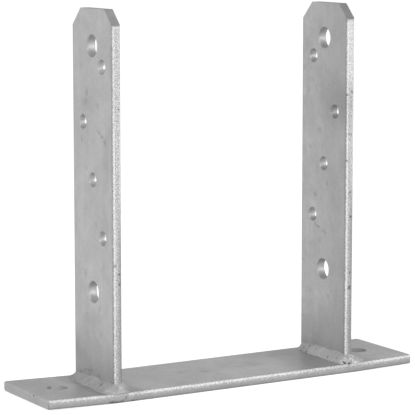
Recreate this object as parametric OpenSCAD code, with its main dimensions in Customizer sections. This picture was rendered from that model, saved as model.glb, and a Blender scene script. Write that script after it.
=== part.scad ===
// Welded post anchor. Two upright flats stand across one base bar and take a timber post
// between them. All sizes are in millimetres. The origin is at the middle of the base bar's
// underside, with X along the bar, Y across it towards the back, and Z up.

/* [Post opening] */
// Clear width between the uprights, 1 mm more than the post
post_gap = 141; // [90:1:200]

/* [Base bar] */
// Length of bar beyond the left upright
left_reach = 40.5; // [34:0.5:90]
// Length of bar beyond the right upright
right_reach = 37.5; // [34:0.5:90]
// Width of the bar
base_w = 55; // [52:0.5:90]
// Thickness of the bar
base_t = 5; // [4:0.5:10]
// Upward bend of the left end, in degrees, pulled by the shrinking weld
left_lift = 1.7; // [0.4:0.1:3]
// Upward bend of the right end, in degrees
right_lift = 1.2; // [0.4:0.1:3]
// Radius of the sheared corners, seen from above
corner_r = 1.5; // [0.5:0.1:6]
// Diameter of the anchor holes
anchor_hole_d = 11; // [7:0.5:14]
// Distance of each anchor hole from its end of the bar
anchor_hole_inset = 18.5; // [12:0.5:22]

/* [Uprights] */
// Width of each upright
upright_w = 45; // [36:0.5:48]
// Thickness of each upright
upright_t = 5; // [4:0.5:8]
// Height of each upright above the bar
upright_h = 200; // [196:1:300]
// Size of the clipped corner at the front of the top
front_clip = 8.5; // [3:0.5:14]
// Size of the clipped corner at the back of the top
back_clip = 10; // [3:0.5:14]
// Rounding of the outline where the clips begin and end
clip_r = 1.2; // [0.4:0.1:2]

/* [Holes in the uprights] */
// Diameter of the two post bolt holes
bolt_hole_d = 11; // [9:0.5:13]
// Height of the lower post bolt hole above the bar
low_bolt_z = 50; // [40:0.5:55]
// Distance of the upper post bolt hole below the top
top_bolt_drop = 19.5; // [18:0.5:21]
// Diameter of the screw holes
screw_hole_d = 7; // [5:0.5:8]
// Height from one hole to the next, up from the lower bolt hole
screw_pitch = 30; // [25:0.5:30]
// Distance of a staggered screw hole from the middle of the upright
screw_stagger = 10.75; // [8:0.25:12]
// Chamfer that the zinc leaves on each hole's rim
rim_ease = 0.45; // [0.1:0.05:0.6]

/* [Bars] */
// Radius of the rolled edges along every bar
edge_r = 1.2; // [0.5:0.1:1.8]

/* [Welds] */
// Width on the bar of a weld outside an upright
outer_foot = 6.4; // [4:0.1:8]
// Height on the upright of a weld outside it
outer_rise = 4.2; // [3:0.1:8]
// Width on the bar of a weld between the uprights
inner_foot = 4.2; // [3:0.1:8]
// Height on the upright of a weld between the uprights
inner_rise = 5.2; // [3:0.1:8]
// Height on the upright where the welds meet round its edges
wrap_rise = 4.4; // [3:0.1:7]
// How far short of the bar's edge the welds stop where they meet
wrap_margin = 0.6; // [0.3:0.1:1.5]
// Share by which a weld's foot is wider at the front, where it was begun
start_swell = 0.26; // [0:0.02:0.4]
// Share by which a weld is leaner at the back, where it was ended
end_taper = 0.28; // [0:0.02:0.4]
// Share of its leg by which a weld's face stands proud
crown = 0.10; // [0.05:0.01:0.25]
// Share of its leg by which the face sinks instead at the back end
end_hollow = 0.20; // [0:0.01:0.25]
// Spacing of the ripples in a weld's face
ripple_pitch = 3.4; // [1.8:0.1:4]
// Depth of the ripples
ripple_depth = 0.11; // [0.05:0.01:0.25]
// Spacing of the slow waves in a weld's edges, from the hand that made it
waver_pitch = 17; // [10:0.5:30]

/* [Hidden] */

zinc = [0.70, 0.71, 0.72];
weld_zinc = [0.64, 0.65, 0.66];

base_l = left_reach + post_gap + 2 * upright_t + right_reach;
left_face_x = left_reach - base_l / 2;
right_face_x = base_l / 2 - right_reach;
left_mid_x = left_face_x + upright_t / 2;
right_mid_x = right_face_x - upright_t / 2;
anchor_x = base_l / 2 - anchor_hole_inset;

top_bolt_z = upright_h - top_bolt_drop;
// Side of each screw hole from the lowest up: -1 front, 0 middle, 1 back on the left upright
screw_sides = [-1, 0, 1, -1];

wrap_foot = (base_w - upright_w) / 2 - wrap_margin;
edge_flat_y = base_w / 2 - edge_r;
swell_l = upright_w / 5;
least_root = edge_r / 4;
side_steps = 72;
turn_steps = 16;
face_steps = 7;
edge_steps = 8;
corner_steps = 4;
cut = 1;
tiny = 0.001;
$fn = 48;

// A flat bar's section: a rectangle with its four rolled edges
module bar_section(w, t) {
    square([w - 2 * edge_r, t], center = true);
    square([w, t - 2 * edge_r], center = true);
    for (x = [-1, 1], y = [-1, 1])
        translate([x * (w / 2 - edge_r), y * (t / 2 - edge_r)])
            circle(r = edge_r);
}

// A solid skinned over a list of rings with as many points each
module loft(rings) {
    n = len(rings[0]);
    last = len(rings) - 1;
    skin = [for (i = [0 : last - 1], j = [0 : n - 1])
        let (a = i * n + j, b = i * n + (j + 1) % n)
        each [[a, a + n, b], [b, a + n, b + n]]];
    start_cap = [for (j = [0 : n - 1]) j];
    end_cap = [for (j = [n - 1 : -1 : 0]) last * n + j];
    polyhedron([for (r = rings) each r], concat(skin, [start_cap, end_cap]));
}

// Height of the bar's underside: flat between the uprights' outer faces, bent up beyond them
function bar_rise(x) =
    max(0, left_face_x - x) * tan(left_lift) + max(0, x - right_face_x) * tan(right_lift);

// The bar's section at x: a rectangle with rolled edges, counted round from its back edge
function bar_ring(x, half_w) =
    [for (q = [0 : 3], k = [0 : edge_steps])
        let (middle = 45 + 90 * q,
             a = 90 * (q + k / edge_steps),
             y = sign(cos(middle)) * (half_w - edge_r),
             z = base_t / 2 + sign(sin(middle)) * (base_t / 2 - edge_r))
        [x, y + edge_r * cos(a), bar_rise(x) + z + edge_r * sin(a)]];

// Places along one end of the bar where its width changes over the rounded corner, as
// [distance from the end, half width]
corner_places = [for (k = [0 : corner_steps])
    let (a = 90 * k / corner_steps)
    [corner_r * (1 - cos(a)), base_w / 2 - corner_r * (1 - sin(a))]];

module base_bar() {
    rings = concat(
        [for (p = corner_places) bar_ring(base_l / 2 - p[0], p[1])],
        [for (x = [right_face_x, left_face_x]) bar_ring(x, base_w / 2)],
        [for (k = [corner_steps : -1 : 0])
            bar_ring(corner_places[k][0] - base_l / 2, corner_places[k][1])]);
    color(zinc)
        difference() {
            loft(rings);
            for (x = [-anchor_x, anchor_x])
                translate([x, 0, -cut])
                    cylinder(d = anchor_hole_d, h = bar_rise(x) + base_t + 3 * cut);
        }
}

// Points of an arc of radius r that rounds the corner at b on the way from a to c
function round_corner(a, b, c, r) =
    let (to_a = (a - b) / norm(a - b), to_c = (c - b) / norm(c - b),
         half = acos(to_a * to_c) / 2,
         mid = (to_a + to_c) / norm(to_a + to_c),
         centre = b + mid * r / sin(half),
         from = b + to_a * r / tan(half) - centre,
         to = b + to_c * r / tan(half) - centre)
    [for (k = [0 : 4])
        let (p = from * (1 - k / 4) + to * k / 4)
        centre + r * p / norm(p)];

// Outline of an upright seen along X, with its two clipped top corners
function upright_outline() =
    let (y = upright_w / 2, z = upright_h,
         p = [[y, 0], [y, z - back_clip], [y - back_clip, z], [front_clip - y, z],
              [-y, z - front_clip], [-y, 0]])
    concat([p[0]], [for (i = [1 : 4]) each round_corner(p[i - 1], p[i], p[i + 1], clip_r)], [p[5]]);

// A hole through an upright along X, with a small chamfer at each face
module upright_hole(d, y, z) {
    translate([0, y, z])
        rotate([0, 90, 0]) {
            cylinder(d = d, h = upright_t + 2 * cut, center = true);
            for (s = [-1, 1])
                rotate([0, 90 - 90 * s, 0])
                    translate([0, 0, upright_t / 2 - rim_ease])
                        cylinder(d1 = d, d2 = d + 4 * rim_ease, h = 2 * rim_ease);
        }
}

// One upright, its foot on Z = 0. The other is the same flat turned round, so turn is -1
// there and the staggered holes swap sides
module upright(turn) {
    difference() {
        intersection() {
            linear_extrude(upright_h)
                bar_section(upright_t, upright_w);
            rotate([90, 0, 90])
                linear_extrude(2 * upright_t, center = true)
                    polygon(upright_outline());
        }
        for (z = [low_bolt_z, top_bolt_z])
            upright_hole(bolt_hole_d, 0, z);
        for (i = [0 : len(screw_sides) - 1])
            upright_hole(screw_hole_d, turn * screw_sides[i] * screw_stagger,
                         low_bolt_z + (i + 1) * screw_pitch);
    }
}

module left_upright() {
    color(zinc)
        translate([left_mid_x, 0, base_t])
            upright(1);
}

module right_upright() {
    color(zinc)
        translate([right_mid_x, 0, base_t])
            upright(-1);
}

// Stations of a weld round one half of a foot, as [x, y, direction it faces]: from the
// middle of the front edge, along the side at -X, to the middle of the back edge
function weld_path() =
    let (x = upright_t / 2 - edge_r, y = upright_w / 2 - edge_r)
    concat(
        [for (k = [0 : 3]) [-x * k / 4, -y - edge_r, 270]],
        [for (k = [0 : turn_steps - 1])
            let (a = 270 - 90 * k / turn_steps) [-x + edge_r * cos(a), -y + edge_r * sin(a), a]],
        [for (k = [0 : side_steps - 1]) [-x - edge_r, y * (2 * k / side_steps - 1), 180]],
        [for (k = [0 : turn_steps - 1])
            let (a = 180 - 90 * k / turn_steps) [-x + edge_r * cos(a), y + edge_r * sin(a), a]],
        [for (k = [0 : 4]) [-x * (1 - k / 4), y + edge_r, 90]]);

// Height of the bar's top by its flat middle: up the bent end, and down its rolled edge
function bar_top(x, y, lift) =
    let (out = max(0, -x - upright_t / 2), over = max(0, abs(y) - edge_flat_y))
    out * tan(lift) + sqrt(edge_r * edge_r - over * over) - edge_r;

// Slow waver of a weld's edges along the joint, about 1: a long wave and a shorter one on it
function waver(y, seed) =
    let (a = 360 * y / waver_pitch)
    1 + 0.06 * sin(a + seed) + 0.04 * sin(2.2 * a + 2.3 * seed);

// One station's section: the root, the upright's face, the rippled face of the weld down to
// its toe, and the point where the bar's flat top ends under it
function weld_section(p, foot, rise, lift, seed) =
    let (start = exp(-pow((upright_w / 2 + p[1]) / swell_l, 2)),
         end = exp(-pow((upright_w / 2 - p[1]) / swell_l, 2)),
         side = pow(cos(p[2]), 2),
         lean = 1 - end_taper * end,
         swell = 1 + start_swell * start,
         f = lean * (side * foot * swell * waver(p[1], seed) + (1 - side) * wrap_foot),
         r = lean * (side * rise * waver(p[1], seed + 90) + (1 - side) * wrap_rise),
         n = [cos(p[2]), sin(p[2])],
         to_edge = (edge_flat_y - abs(p[1])) / max(abs(n[1]), tiny),
         flat = min(f * 0.8, max(least_root, to_edge)),
         under = [p[0] + flat * n[0], p[1] + flat * n[1]])
    concat(
        [[p[0], p[1], bar_top(p[0], p[1], lift)]],
        [for (k = [0 : face_steps])
            let (u = k / face_steps,
                 ripple = side * ripple_depth * cos(360 * (p[1] + 1.5 * u * u) / ripple_pitch),
                 bulge = crown - (crown + end_hollow) * end,
                 proud = (bulge * min(f, r) + ripple) * sin(180 * u),
                 out = f * u + proud * r / norm([f, r]),
                 x = p[0] + out * n[0],
                 y = p[1] + out * n[1])
            [x, y, r * (1 - u) + proud * f / norm([f, r]) + bar_top(x, y, lift)]],
        [[under[0], under[1], bar_top(under[0], under[1], lift)]]);

// A fillet weld round one half of a foot, lofted from section to section
module weld(foot, rise, lift, seed) {
    loft([for (p = weld_path()) weld_section(p, foot, rise, lift, seed)]);
}

module left_outer_weld() {
    color(weld_zinc)
        translate([left_mid_x, 0, base_t])
            weld(outer_foot, outer_rise, left_lift, 40);
}

module left_inner_weld() {
    color(weld_zinc)
        translate([left_mid_x, 0, base_t])
            mirror([1, 0, 0])
                weld(inner_foot, inner_rise, 0, 150);
}

module right_outer_weld() {
    color(weld_zinc)
        translate([right_mid_x, 0, base_t])
            mirror([1, 0, 0])
                weld(outer_foot, outer_rise, right_lift, 260);
}

module right_inner_weld() {
    color(weld_zinc)
        translate([right_mid_x, 0, base_t])
            weld(inner_foot, inner_rise, 0, 320);
}

base_bar();
left_upright();
right_upright();
left_outer_weld();
left_inner_weld();
right_outer_weld();
right_inner_weld();
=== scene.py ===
import math

import bmesh
import bpy
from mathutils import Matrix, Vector, noise


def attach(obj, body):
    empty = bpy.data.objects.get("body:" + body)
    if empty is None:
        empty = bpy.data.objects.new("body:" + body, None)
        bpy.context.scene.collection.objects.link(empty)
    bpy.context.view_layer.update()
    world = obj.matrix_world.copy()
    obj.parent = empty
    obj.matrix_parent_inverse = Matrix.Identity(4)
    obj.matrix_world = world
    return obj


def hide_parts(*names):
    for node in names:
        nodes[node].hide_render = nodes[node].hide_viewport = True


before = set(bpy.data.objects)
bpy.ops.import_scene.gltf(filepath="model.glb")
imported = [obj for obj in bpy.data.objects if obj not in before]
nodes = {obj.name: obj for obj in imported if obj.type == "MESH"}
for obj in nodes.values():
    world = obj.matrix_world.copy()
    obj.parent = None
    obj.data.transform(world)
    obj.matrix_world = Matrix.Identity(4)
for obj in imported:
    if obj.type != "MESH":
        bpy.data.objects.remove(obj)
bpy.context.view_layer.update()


# Base bar: a 5 mm flat of mild steel with rolled edges, sheared to length, drilled near each
# end and dipped in molten zinc after welding. The zinc is satin grey with faint clouds, and rough
# and bright along the rolled edges. A painted highlight runs along their tops, and painted shade
# darkens the bar near the uprights, towards its left end and low on its long sides.

MM = 0.001
BAR_END, BAR_SIDE, BAR_T = 114.5, 27.5, 5.0
LEFT_FACE, RIGHT_FACE = -74.0, 77.0
UPRIGHT_T = 5.0
FACE_TONE, EDGE_TONE, BEAD_HIGHLIGHT_TONE = 0.62, 0.73, 1.02
CLOUD, PATCH, STREAK, GRAIN, EDGE_GRAIN = 0.22, 0.22, 0.12, 0.20, 0.36
SMOOTH_TONE, SMOOTH_ROUGHNESS = 0.95, 0.22


class Shade:
    """A number or colour that a material works out; Python's operators add its Math nodes."""

    def __init__(self, tree, socket):
        self.tree, self.socket = tree, socket

    def node(self, kind, sockets, output=0, **settings):
        made = self.tree.nodes.new("ShaderNode" + kind)
        for name, value in settings.items():
            setattr(made, name, value)
        for key, value in sockets.items():
            if isinstance(value, Shade):
                self.tree.links.new(value.socket, made.inputs[key])
            else:
                made.inputs[key].default_value = value
        return Shade(self.tree, made.outputs[output])

    def maths(self, operation, *values):
        return self.node("Math", dict(enumerate(values)), operation=operation)

    def __add__(self, other):
        return self.maths("ADD", self, other)

    def __sub__(self, other):
        return self.maths("SUBTRACT", self, other)

    def __rsub__(self, other):
        return self.maths("SUBTRACT", other, self)

    def __mul__(self, other):
        return self.maths("MULTIPLY", self, other)

    def __abs__(self):
        return self.maths("ABSOLUTE", self)

    __radd__, __rmul__ = __add__, __mul__

    def most(self, other):
        return self.maths("MAXIMUM", self, other)

    def least(self, other):
        return self.maths("MINIMUM", self, other)

    def step(self, low, high):
        """0 below low, 1 above high and a smooth rise between them."""
        return self.node("MapRange", {0: self, 1: low, 2: high}, interpolation_type="SMOOTHSTEP")


class Place:
    """The place on a piece in millimetres, for the materials."""

    def __init__(self, tree):
        self.raw = Shade(tree, None).node("TexCoord", {}, output="Object")
        self.mm = self.raw.node("VectorMath", {0: self.raw, 3: 1.0 / MM}, operation="SCALE")
        self.x, self.y, self.z = [self.mm.node("SeparateXYZ", {0: self.mm}, output=k) for k in range(3)]

    def noise(self, size, detail=3.0, roughness=0.55, stretch=(1.0, 1.0, 1.0)):
        """Noise from -0.5 to 0.5 whose patches are about size millimetres across."""
        at = self.mm.node("Mapping", {"Vector": self.mm, "Scale": stretch})
        return at.node("TexNoise", {"Vector": at, "Scale": 1.0 / size, "Detail": detail,
                                    "Roughness": roughness}, output="Fac") - 0.5

    def far(self, x, y, z):
        """Distance in millimetres from a point; a coordinate of None is left out."""
        total = None
        for here, there in ((self.x, x), (self.y, y), (self.z, z)):
            if there is not None:
                square = here.maths("POWER", abs(here - there), 2.0)
                total = square if total is None else total + square
        return total.maths("SQRT", total)

    def off(self, axes, start, end):
        """Distance in millimetres from the line between two places, seen along the third axis."""
        here = [getattr(self, axis) for axis in axes]
        run = [b - a for a, b in zip(start, end)]
        length = sum(step * step for step in run)
        share = sum((h - a) * step for h, a, step in zip(here, start, run)) * (1.0 / length)
        share = share.most(0.0).least(1.0)
        gaps = [h - (share * step + a) for h, a, step in zip(here, start, run)]
        return share.maths("SQRT", gaps[0] * gaps[0] + gaps[1] * gaps[1])


def spots(at, places):
    """A mask of ragged dark spots, each a place and a radius; a coordinate of None is any."""
    mark = None
    for place, radius in places:
        ragged = at.noise(radius * 0.8) * radius * 1.7
        one = 1.0 - (at.far(*place) + ragged).step(radius * 0.3, radius * 1.1)
        mark = one if mark is None else mark.most(one)
    return mark


def scratches(at, axes, lines, wobble):
    """A mask of dark marks, each a short line (start, end, width) with a ragged border."""
    mark = None
    ragged = wobble * 1.6 + at.noise(1.1)
    for start, end, width in lines:
        one = 1.0 - (at.off(axes, start, end) + ragged).step(0.0, width)
        mark = one if mark is None else mark.most(one)
    return mark * at.noise(2.0).step(-0.12, 0.06)


def grey(value):
    return value.node("CombineColor", {0: value, 1: value, 2: value})


def feed(shader, socket, value):
    value.tree.links.new(value.socket, shader.inputs[socket])


def new_material(name):
    """An empty material, its shader node and the place on its piece."""
    material = bpy.data.materials.new(name)
    material.use_nodes = True
    return material, material.node_tree.nodes["Principled BSDF"], Place(material.node_tree)


def zinc(name, tone, looks, dullness=0.42):
    """Hot-dip zinc. looks(at) gives masks from 0 to 1: grainy edges, the bright beads along
    their corners (partly zinc, partly painted highlight), painted shade in lines along edges, over
    the lower edges and round hole rims, painted shade near joins and low down with some duller
    zinc, the walls of holes and their smooth far ends, sheared cuts, and dark marks. A wall below
    0 is painted light and a mark below 0 a painted highlight. dullness is the roughness that the
    rest is added to."""
    material, shader, at = new_material(name)
    masks = dict(edge=0.0, bead=0.0, shade=0.0, shade_and_dulling=0.0, wall=0.0, deep=0.0, cut=0.0, mark=0.0)
    masks.update(looks(at))
    edge, bead, shade, shade_and_dulling, wall, deep, cut, mark = masks.values()
    cloud = at.noise(24.0)
    patch = at.noise(7.0, 4.0, 0.62)
    streak = at.noise(5.0, 3.0, 0.6, (1.0, 1.0, 0.22))
    grain = at.noise(1.3, 3.0, 0.7)
    speck = at.noise(0.8, 2.0, 0.5)
    lump = speck.step(-0.12, 0.14)
    face = tone + cloud * CLOUD + patch * PATCH + streak * STREAK + grain * GRAIN
    edge_face = EDGE_TONE + (lump - 0.5) * EDGE_GRAIN
    # The bright beads are partly zinc and partly a painted highlight.
    bead_highlight_face = BEAD_HIGHLIGHT_TONE + (lump - 0.5) * EDGE_GRAIN
    tones = face * (1.0 - edge) + (edge_face * (1.0 - bead) + bead_highlight_face * bead) * edge
    # This darkening is mostly painted shade near joins and low down, with some duller zinc, darker hole walls
    # and sheared cuts; a wall below 0 brightens as painted light.
    darkening = (1.0 - shade_and_dulling * (0.30 + patch * 0.4)) * (1.0 - wall * 0.16) * (1.0 - cut * 0.17)
    darkening = darkening * (1.0 - shade * 0.36)
    tones = tones * darkening * (1.0 - mark * 0.45)
    feed(shader, "Base Color", grey(tones * (1.0 - deep) + deep * SMOOTH_TONE))
    feed(shader, "Metallic", (0.72 - edge * 0.45) * (1.0 - deep) + deep)
    rough = dullness + patch * 0.16 + edge * 0.14 + shade_and_dulling * 0.08 + wall * 0.09
    feed(shader, "Roughness", rough * (1.0 - deep) + deep * SMOOTH_ROUGHNESS)
    wrinkle = at.noise(3.0, 4.0, 0.7).step(0.10, 0.20)
    height = patch * 0.06 + grain * 0.04 + speck * edge * 0.35 + grain * wall * 0.30
    height = height - mark * 0.06 - wrinkle * (1.0 - edge) * 0.05
    bump = at.mm.node("Bump", {"Height": height * (1.0 - deep), "Distance": MM, "Strength": 1.0},
                      output="Normal")
    feed(shader, "Normal", bump)
    return material


LEFT_LIFT, RIGHT_LIFT = math.tan(math.radians(1.7)), math.tan(math.radians(1.2))
ANCHOR_X, ANCHOR_R = 96.0, 5.5
RUN_X = -72.5  # the middle of the smooth place on the bar's edge at the left weld
FRONT_LINES = [((-79.3, 1.2), (-76.0, 0.9), 0.9), ((-76.0, 0.9), (-72.2, 0.5), 1.1),
               ((-72.2, 0.5), (-70.2, 1.5), 1.1), ((-70.2, 1.5), (-69.2, 3.2), 0.9),
               ((-66.0, 0.6), (-63.5, 0.5), 0.9), ((71.4, 3.6), (72.0, 4.6), 1.0)]
TOP_LINES = [((-97.9, -3.6), (-97.0, -3.2), 0.9), ((94.2, -15.7), (98.4, -15.3), 1.2),
             ((98.9, -15.2), (103.3, -14.6), 1.1)]
TOP_SPOTS = [((-18.5, 1.5, None), 4.0), ((-7.0, -2.5, None), 4.5), ((25.0, 1.0, None), 7.0),
             ((16.5, -1.0, None), 3.5), ((-54.0, -23.0, None), 2.0), ((-115.4, -11.2, None), 1.0)]
END_PITS = [((None, -9.4, 5.4), 0.9)]


def bar_looks(at):
    rise = (LEFT_FACE - at.x).most(0.0) * LEFT_LIFT + (at.x - RIGHT_FACE).most(0.0) * RIGHT_LIFT
    level = at.z - rise
    wobble = at.noise(3.0) * 0.8
    side = (abs(at.y) + wobble).step(BAR_SIDE - 1.8, BAR_SIDE - 1.0)
    roll = (level + at.noise(4.0) * 1.4).step(1.6, 4.4)
    end = (abs(at.x) + wobble).step(BAR_END - 1.6, BAR_END - 0.8)
    run = 1.0 - abs(at.x - RUN_X).step(3.0, 5.5)
    edge = (side * roll + end * roll * (1.0 - side) * 0.15) * (1.0 - run * 0.8)
    # A painted highlight along the top of the rolled edges.
    waved = level + wobble * 0.5
    bead = waved.step(BAR_T - 1.6, BAR_T - 0.9) * (1.0 - waved.step(BAR_T - 0.25, BAR_T))
    across = abs(at.y)
    # Painted shade: a thin dark line where the flat top meets the roll, and the lowest part of the long sides
    # darker.
    shade_line = across.step(BAR_SIDE - 1.6, BAR_SIDE - 1.3) * (1.0 - across.step(BAR_SIDE - 1.0, BAR_SIDE - 0.6))
    shade_below = side * (1.0 - level.step(0.3, 1.6))
    shade = shade_line * 0.55 + shade_below * 0.5
    from_left = abs(at.x - (LEFT_FACE + UPRIGHT_T / 2))
    from_right = abs(at.x - (RIGHT_FACE - UPRIGHT_T / 2))
    # Painted shade near the uprights, and a painted shadow towards the bar's left end.
    near = 1.0 - (from_left.least(from_right) + at.noise(9.0) * 14.0).step(7.0, 19.0)
    left_end = 1.0 - at.x.step(LEFT_FACE - 30.0, LEFT_FACE - 2.0)
    from_axis = at.far(-ANCHOR_X, 0.0, None).least(at.far(ANCHOR_X, 0.0, None))
    wall = 1.0 - from_axis.step(ANCHOR_R, ANCHOR_R + 0.4)
    mark = at.noise(2.2, 4.0, 0.7).step(0.19, 0.26)
    front = 1.0 - at.y.step(0.1 - BAR_SIDE, 0.9 - BAR_SIDE)
    mark = mark.most(scratches(at, "xy", TOP_LINES, wobble) * (1.0 - front))
    mark = mark.most(spots(at, TOP_SPOTS) * (1.0 - front) * 0.4)
    mark = mark.most(scratches(at, "xz", FRONT_LINES, wobble) * front * 1.8)
    mark = mark.most(spots(at, END_PITS) * (1.0 - at.x.step(0.2 - BAR_END, 0.7 - BAR_END)) * 1.8)
    # Painted shade on the top beside the right upright's inner face.
    far_shade = 1.0 - (RIGHT_FACE - UPRIGHT_T - at.x + at.noise(12.0) * 16.0).step(8.0, 50.0)
    far_shade = far_shade * (1.0 - at.x.step(RIGHT_FACE - UPRIGHT_T, RIGHT_FACE))
    # All of it, with the lower part of the long sides, darkens the bar as painted shade.
    shade_and_dulling = (near * 0.7).most(side * (1.0 - roll)).most(left_end * 0.4).most(far_shade * 0.65)
    # Painted light brightens the left part of the right anchor hole's wall and a band in the left one's; the
    # rest of the walls are a little darker.
    lit = at.x.step(0.0, 1.0) * (1.0 - at.x.step(ANCHOR_X - 2.0, ANCHOR_X + 1.0))
    left_lit = at.x.step(-ANCHOR_X - 2.5, -ANCHOR_X - 0.5) * (1.0 - at.x.step(1.5 - ANCHOR_X, 4.0 - ANCHOR_X))
    lit = lit.most(left_lit * 0.8)
    return dict(edge=edge, bead=bead * 0.8, shade=shade, shade_and_dulling=shade_and_dulling, wall=wall * (0.6 - lit * 2.4),
                mark=mark * 0.8)


nodes["base_bar"].data.materials.clear()
nodes["base_bar"].data.materials.append(zinc("zinc_on_bar", FACE_TONE, bar_looks))


# Uprights: two flats of 45 by 5 mm stand across the bar. Their top corners are clipped, and
# six holes are punched and drilled in each before the dip. Their edges carry bright beads along
# the corners, partly zinc and partly painted highlight, with painted shade over the lower half of
# one side; painted shade also darkens their feet and the rims of the holes.

UPRIGHT_TOP, UPRIGHT_SIDE = 205.0, 22.5
FRONT_CLIP, BACK_CLIP = 8.5, 10.0
BOLT_R, BOLT_HOLES = 5.5, [(0.0, 55.0), (0.0, 185.5)]
SCREW_R, SCREW_HOLES = 3.5, [(-10.75, 85.0), (0.0, 115.0), (10.75, 145.0), (-10.75, 175.0)]
LEFT_LINES = [((-5.8, 141.1), (-8.2, 140.1), 1.4), ((-10.6, 139.2), (-12.6, 137.0), 1.7),
              ((-12.6, 137.0), (-14.0, 134.8), 2.0), ((15.4, 9.3), (14.4, 9.6), 1.1),
              ((11.2, 10.9), (2.6, 12.2), 1.0), ((-5.2, 10.6), (-6.4, 10.0), 1.1)]
LEFT_SPOTS = [((None, 6.4, 160.4), 2.0), ((None, 8.1, 155.7), 2.6), ((None, -14.4, 135.4), 2.0),
              ((None, 12.4, 174.6), 2.0), ((None, -8.4, 33.0), 1.6), ((None, -7.0, 46.7), 1.8),
              ((None, 8.0, 42.3), 1.6), ((None, 7.4, 120.7), 1.8), ((None, -6.0, 154.6), 2.2),
              ((None, 12.0, 135.0), 1.8), ((None, -3.0, 92.0), 2.0), ((None, 9.0, 64.0), 2.2)]
RIGHT_LINES = [((8.4, 79.6), (4.0, 78.4), 1.0), ((-1.0, 76.8), (-3.0, 75.6), 1.0),
               ((20.6, 58.3), (19.6, 57.9), 1.0), ((-5.0, 41.0), (-7.0, 39.0), 1.2)]
RIGHT_SPOTS = [((None, 15.2, 155.7), 2.6), ((None, 10.4, 161.4), 1.8), ((None, 3.7, 133.5), 2.4),
               ((None, 13.8, 123.4), 2.0), ((None, 1.3, 125.4), 1.4), ((None, -3.4, 104.4), 2.2),
               ((None, 8.0, 96.7), 2.8), ((None, 20.6, 167.8), 2.2), ((None, 12.0, 67.9), 1.4),
               ((None, -13.1, 147.7), 1.6), ((None, 3.4, 70.6), 1.8)]
LEFT_NICKS = [((-73.0, None, 71.9), 1.0), ((-70.8, None, 67.4), 1.0), ((-70.4, None, 62.0), 0.8),
              ((-70.5, None, 153.5), 0.7)]
RIGHT_NICKS = [((72.2, None, 154.9), 1.0), ((75.6, None, 156.6), 0.8), ((73.5, None, 133.4), 0.8),
               ((75.2, None, 133.0), 0.7), ((72.5, None, 118.6), 0.9), ((74.6, None, 101.0), 0.8),
               ((75.4, None, 87.0), 1.2), ((75.0, None, 55.7), 0.9), ((74.7, None, 47.3), 1.4)]
CLOUDY_Y, CLOUDY_Z = 12.0, 151.0


def nearest_wall(at, turn, holes, radius):
    """Distance in millimetres from the nearest wall of the holes."""
    close = at.far(None, turn * holes[0][0], holes[0][1])
    for y, z in holes[1:]:
        close = close.least(at.far(None, turn * y, z))
    return close - radius


def hole_masks(at, turn, across, deep_from):
    """The walls of an upright's holes with painted light across their middle height, the painted shade round
    their rims, and their smooth far ends.
    """
    bolt_wall = nearest_wall(at, turn, BOLT_HOLES, BOLT_R)
    screw_wall = nearest_wall(at, turn, SCREW_HOLES, SCREW_R)
    from_wall = bolt_wall.least(screw_wall)
    level = None
    for y, z in BOLT_HOLES + SCREW_HOLES:
        here = 1.0 - abs(at.z - z).step(0.8, 3.4)
        level = here if level is None else level.most(here)
    # Painted light across the walls at each hole's middle height.
    lit = level * (1.0 - from_wall.step(-0.1, 0.1)) * (at.noise(2.0) + 1.5)
    wall = (1.0 - from_wall.step(0.0, 0.5)) * (1.0 - lit)
    # Painted shade round each hole's rim.
    rim = from_wall.step(0.05, 0.2) * (1.0 - from_wall.step(0.45, 0.7))
    deep = (1.0 - screw_wall.step(0.0, 0.1)) * across.step(deep_from, deep_from + 0.2)
    return wall, rim, deep


def cut_mask(at):
    """The sheared faces of the clipped corners and of the top, which stay a little darker."""
    front_line = UPRIGHT_TOP + UPRIGHT_SIDE - FRONT_CLIP
    back_line = UPRIGHT_TOP + UPRIGHT_SIDE - BACK_CLIP
    front = (at.z - at.y).step(front_line - 0.3, front_line - 0.1)
    back = (at.z + at.y).step(back_line - 0.3, back_line - 0.1)
    return front.most(back).most(at.z.step(UPRIGHT_TOP - 0.2, UPRIGHT_TOP - 0.05) * 2.0)


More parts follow.
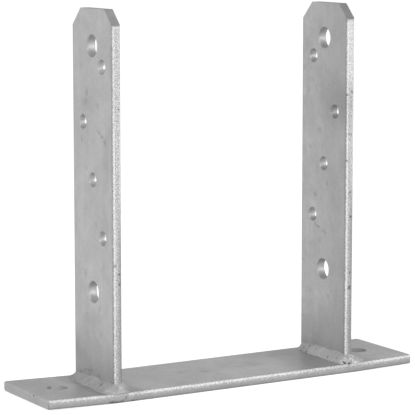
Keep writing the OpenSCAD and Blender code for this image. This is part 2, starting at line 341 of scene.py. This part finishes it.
def upright_looks(mid_x, turn, deep_from, edge_shade_below, edge_shade_across, upper_from, lines, smudges, nicks):
    """The masks of one upright. turn is -1 for the one that stands the other way round. Its
    screw holes are smooth past deep_from. Painted shade darkens its edges past edge_shade_across, up to
    about edge_shade_below, and their upper part, where the beads' painted highlight changes, starts at
    upper_from. Then come its dark marks."""
    def looks(at):
        wobble = at.noise(3.0) * 0.8
        side = (abs(at.y) + wobble).step(UPRIGHT_SIDE - 1.3, UPRIGHT_SIDE - 0.5)
        side = side * (1.0 - at.z.step(UPRIGHT_TOP - 10.4, UPRIGHT_TOP - 8.6))
        across = at.x - mid_x
        corner = abs(across) + wobble * 0.4
        # The beads along the corners are partly zinc and partly a painted highlight, dimmer on one corner.
        bead = corner.step(1.1, 1.5) * (1.0 - corner.step(1.9, 2.15))
        # Painted shade over the lower part of one side of each edge; it also takes off the edge's grain and
        # beads there.
        low = 1.0 - (at.z + at.noise(30.0) * 60.0).step(edge_shade_below, edge_shade_below + 45.0)
        edge_shade = (across + at.noise(6.0) * 1.6).step(edge_shade_across, edge_shade_across + 2.8) * low
        edge = side * (1.0 - edge_shade * 0.4)
        bead = bead * (1.0 - edge_shade) * (1.0 - across.step(0.0, 0.6) * 0.3)
        # Up high the left upright's beads are dimmer and the right upright's edge gets a painted sheen.
        upper = (at.z + at.noise(9.0) * 10.0).step(upper_from, upper_from + 18.0)
        bead = bead * (1.0 - upper * 0.4) if turn > 0 else bead.most(upper * 0.55)
        wall, rim, deep = hole_masks(at, turn, across, deep_from)
        # Painted shade: a thin dark line along the corners of the edges, and the shade of the lower edges and
        # of the holes' rims.
        shade_line = corner.step(2.1, 2.3) * abs(at.y).step(UPRIGHT_SIDE - 1.7, UPRIGHT_SIDE - 1.3)
        shade = (side * edge_shade).most(shade_line * 0.7).most(rim * 0.55)
        # Painted shade darkens the upright towards its foot, more at the back, with a little more roughness.
        back = at.y.step(-14.0, 10.0)
        high = at.z + at.noise(9.0) * 26.0
        shade_and_dulling = 1.0 - high.step(back * 10.0 + 6.0, (1.0 - back) * 10.0 + (46.0 if turn > 0 else 40.0))
        shade_and_dulling = shade_and_dulling * (back * 0.4 + 0.6)
        if turn < 0:
            # On the right upright: a darker cloud high up, painted shade at the back of its foot, and painted
            # shade across its face, darker towards the front.
            cloudy = 1.0 - (at.far(None, -CLOUDY_Y, CLOUDY_Z) + at.noise(8.0) * 12.0).step(5.0, 24.0)
            foot_shade = (1.0 - (at.z + at.noise(5.0) * 5.0).step(11.0, 19.0)) * back
            shade_across = 1.0 - at.y.step(-24.0, 24.0)
            shade_and_dulling = (shade_and_dulling * 0.75).most(foot_shade).most(cloudy * 0.5) + shade_across * (1.0 - side) * 0.28
        marks = scratches(at, "yz", lines, wobble).most(spots(at, smudges) * 0.42)
        mark = at.noise(2.4, 4.0, 0.7).step(0.20, 0.27)
        mark = mark.most(marks * (1.0 - across.step(-0.5, 0.5))) * 0.7 * (1.0 - side)
        nick = spots(at, nicks) * side * (1.0 - at.y.step(1.5 - UPRIGHT_SIDE, 2.5 - UPRIGHT_SIDE))
        return dict(edge=edge, bead=bead, shade=shade, shade_and_dulling=shade_and_dulling, wall=wall, deep=deep,
                    cut=cut_mask(at), mark=mark + nick * 1.3)
    return looks


left_zinc = zinc("zinc_on_left_upright", FACE_TONE + 0.03,
                 upright_looks(LEFT_FACE + UPRIGHT_T / 2, 1.0, 0.45, 74.0, -1.0, 132.0,
                               LEFT_LINES, LEFT_SPOTS, LEFT_NICKS))
right_zinc = zinc("zinc_on_right_upright", FACE_TONE - 0.01,
                  upright_looks(RIGHT_FACE - UPRIGHT_T / 2, -1.0, 1.45, 82.0, -1.6, 150.0,
                                RIGHT_LINES, RIGHT_SPOTS, RIGHT_NICKS))
for name, paint in (("left_upright", left_zinc), ("right_upright", right_zinc)):
    nodes[name].data.materials.clear()
    nodes[name].data.materials.append(paint)


# Welds: a fillet run on each side of each foot, wrapped round the flat's edges and covered by
# the same zinc. Each is the CAD run made finer, with the lumps, scallops and small pits that
# a hand-held rod and the zinc leave.

LEFT_PITS = [((None, 14.9, 9.3), 0.9), ((None, -14.5, 7.9), 0.7), ((None, 0.4, 7.6), 0.6)]
RIGHT_PITS = [((None, 11.5, 8.6), 0.7), ((None, 16.7, 7.1), 0.8), ((None, 17.2, 4.9), 0.7),
              ((None, 11.4, 5.6), 0.8), ((None, -11.1, 6.6), 0.9), ((None, -19.1, 7.2), 0.7),
              ((None, 3.2, 8.4), 0.6)]
FRONT_PITS = [((69.9, None, 5.7), 1.1), ((72.4, None, 4.6), 1.5)]
FLARE_HIGHLIGHT = [((71.6, 12.6), (73.7, 10.2), 1.6), ((73.7, 10.2), (76.2, 8.2), 1.5)]
CREASE = [((11.2, 10.6), (7.1, 11.2), 0.8), ((7.1, 11.2), (2.5, 11.9), 0.8)]


def weld_looks(side_pits, glint, low_shade, darker_back):
    """The masks of the welds at one foot: its dark pits, how bright the painted highlight on its
    front is, how much painted shade darkens its lower toes, and how much darker its back ends are."""
    def looks(at):
        edge = at.noise(3.2, 3.0).step(-0.02, 0.14) * 0.6
        front = 1.0 - at.y.step(-25.5, -22.0)
        mark = at.noise(1.5, 3.0, 0.6).step(0.13, 0.20) * 0.7
        mark = mark.most(spots(at, side_pits) * (1.0 - front) * 1.3)
        mark = mark.most(spots(at, FRONT_PITS) * front * 1.8)
        mark = mark.most(scratches(at, "yz", CREASE, at.noise(3.0) * 0.8) * (1.0 - front))
        # A painted highlight in a strip where the right upright's front edge runs into its weld.
        flare_highlight = scratches(at, "xz", FLARE_HIGHLIGHT, at.noise(3.0) * 0.5) * (1.0 - at.y.step(-22.5, -20.5))
        # Painted shade on the lower toes; the back ends are darker.
        low = 1.0 - (at.z + at.noise(4.0) * 2.0).step(5.6, 9.0)
        shade_and_dulling = low * low_shade + (at.y + at.noise(5.0) * 6.0).step(6.0, 13.0) * darker_back + 0.26
        # The brighter beads on the welds' fronts are a painted highlight.
        return dict(edge=edge * (0.4 + front * 0.6), bead=front * glint, shade_and_dulling=shade_and_dulling,
                    mark=mark - flare_highlight * 0.6)
    return looks


WELD_TONE = 0.65
LEFT_DULLNESS, RIGHT_DULLNESS = 0.56, 0.50
left_looks, right_looks = weld_looks(LEFT_PITS, 0.4, 0.4, 0.15), weld_looks(RIGHT_PITS, 1.0, 0.1, 0.45)
weld_zinc = {"left": zinc("zinc_on_left_welds", WELD_TONE, left_looks, LEFT_DULLNESS),
             "right": zinc("zinc_on_right_welds", WELD_TONE, right_looks, RIGHT_DULLNESS)}


def finer_copy(name, rounds):
    """The merged mesh of a CAD node, its triangles split rounds times."""
    shape = bmesh.new()
    shape.from_mesh(nodes[name].data)
    bmesh.ops.transform(shape, matrix=nodes[name].matrix_world, verts=shape.verts)
    bmesh.ops.remove_doubles(shape, verts=shape.verts, dist=0.002 * MM)
    for _ in range(rounds):
        bmesh.ops.subdivide_edges(shape, edges=shape.edges, cuts=1, use_grid_fill=True)
    bmesh.ops.recalc_face_normals(shape, faces=shape.faces)
    return shape


def piece_from(shape, name, material):
    """A finished object in the scene with the shape's mesh, smooth shaded."""
    for face in shape.faces:
        face.smooth = True
    mesh = bpy.data.meshes.new(name)
    shape.to_mesh(mesh)
    shape.free()
    mesh.materials.append(material)
    made = bpy.data.objects.new(name, mesh)
    bpy.context.scene.collection.objects.link(made)
    return made


LUMP, LUMP_SIZE = 0.38, 4.2
KNOB, KNOB_SIZE = 0.11, 1.5
PIT, PIT_SIZE, PIT_FROM = 0.5, 1.9, 0.42
for name in ("left_outer_weld", "left_inner_weld", "right_outer_weld", "right_inner_weld"):
    shape = finer_copy(name, 2)
    shape.normal_update()
    moves = []
    for v in shape.verts:
        p = v.co / MM
        lump = noise.noise(p / LUMP_SIZE) * LUMP
        knob = noise.noise(p / KNOB_SIZE + Vector((7.0, 3.0, 1.0))) * KNOB
        pit = max(0.0, noise.noise(p / PIT_SIZE + Vector((2.0, 9.0, 4.0))) - PIT_FROM) * PIT
        moves.append(v.normal * (lump + knob - pit) * MM)
    for v, move in zip(shape.verts, moves):
        v.co += move
    bead = piece_from(shape, name + "_bead", weld_zinc[name.split("_")[0]])
    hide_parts(name)
    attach(bead, "root")


# Studio: a wide white floor that runs off to the horizon, two large soft lamps in front of the
# anchor, to its left and right, and an even white surround.

FLOOR_GREY, FLOOR_SEEN, FLOOR_MIRRORED = 0.42, 0.84, 0.45
floor_mesh = bpy.data.meshes.new("floor")
shape = bmesh.new()
bmesh.ops.create_grid(shape, x_segments=1, y_segments=1, size=40.0)
shape.to_mesh(floor_mesh)
shape.free()
floor = bpy.data.objects.new("floor", floor_mesh)
bpy.context.scene.collection.objects.link(floor)

paint, shader, at = new_material("white_floor")
shader.inputs["Base Color"].default_value = (FLOOR_GREY, FLOOR_GREY, FLOOR_GREY, 1.0)
shader.inputs["Roughness"].default_value = 0.9
shader.inputs["Specular IOR Level"].default_value = 0.0
camera_ray = at.mm.node("LightPath", {}, output="Is Camera Ray")
glossy_ray = at.mm.node("LightPath", {}, output="Is Glossy Ray")
glow = paint.node_tree.nodes.new("ShaderNodeEmission")
both = paint.node_tree.nodes.new("ShaderNodeAddShader")
feed(glow, "Strength", camera_ray * FLOOR_SEEN + glossy_ray * FLOOR_MIRRORED)
paint.node_tree.links.new(shader.outputs[0], both.inputs[0])
paint.node_tree.links.new(glow.outputs[0], both.inputs[1])
paint.node_tree.links.new(both.outputs[0], paint.node_tree.nodes["Material Output"].inputs[0])
floor_mesh.materials.append(paint)

world = bpy.data.worlds.new("studio")
world.use_nodes = True
sky = world.node_tree
start = Shade(sky, None)
camera_ray = start.node("LightPath", {}, output="Is Camera Ray")
glossy_ray = start.node("LightPath", {}, output="Is Glossy Ray")
direction = start.node("TexCoord", {}, output="Generated")
up = start.node("SeparateXYZ", {0: direction}, output=2)
AMBIENT = 0.45
LOW_SKY, HIGH_SKY = 0.75, 0.35
ceiling = LOW_SKY - up.step(0.0, 0.8) * (LOW_SKY - HIGH_SKY)
strength = camera_ray + (1.0 - camera_ray) * (glossy_ray * ceiling + (1.0 - glossy_ray) * AMBIENT)
sky.nodes["Background"].inputs["Color"].default_value = (1.0, 1.0, 1.0, 1.0)
feed(sky.nodes["Background"], "Strength", strength)
bpy.context.scene.world = world


def lamp(name, place, aim, size, power):
    """A soft square lamp at place, turned to aim, with its power in watts."""
    light = bpy.data.lights.new(name, "AREA")
    light.shape, light.size, light.energy = "SQUARE", size, power
    holder = bpy.data.objects.new(name, light)
    holder.location = place
    holder.rotation_mode = "QUATERNION"
    holder.rotation_quaternion = (Vector(aim) - Vector(place)).to_track_quat("-Z", "Y")
    bpy.context.scene.collection.objects.link(holder)
    return holder


lamp("front_lamp", (-1.3, -1.25, 1.2), (0, 0, 0.1), 1.7, 21.0)
lamp("side_lamp", (0.9, -1.35, 0.45), (0, 0, 0.1), 1.6, 8.5)

# Camera: in front and to the left of the anchor, a little above its top, with a long lens.
IMAGE_PX = 415
SENSOR_MM = 36.0
FOCAL_PX = 2117.5
camera = bpy.data.cameras.new("camera")
camera.sensor_width = SENSOR_MM
camera.lens = FOCAL_PX * SENSOR_MM / IMAGE_PX
eye = bpy.data.objects.new("camera", camera)
turn, tilt = math.radians(-30.69), math.radians(7.90)
back = Vector((math.sin(turn) * math.cos(tilt), -math.cos(turn) * math.cos(tilt), math.sin(tilt)))
eye.location = (-0.5868, -0.9824, 0.2538)
eye.rotation_mode = "QUATERNION"
eye.rotation_quaternion = (-back).to_track_quat("-Z", "Y")
bpy.context.scene.collection.objects.link(eye)
bpy.context.scene.camera = eye
bpy.context.scene.view_settings.view_transform = "Standard"
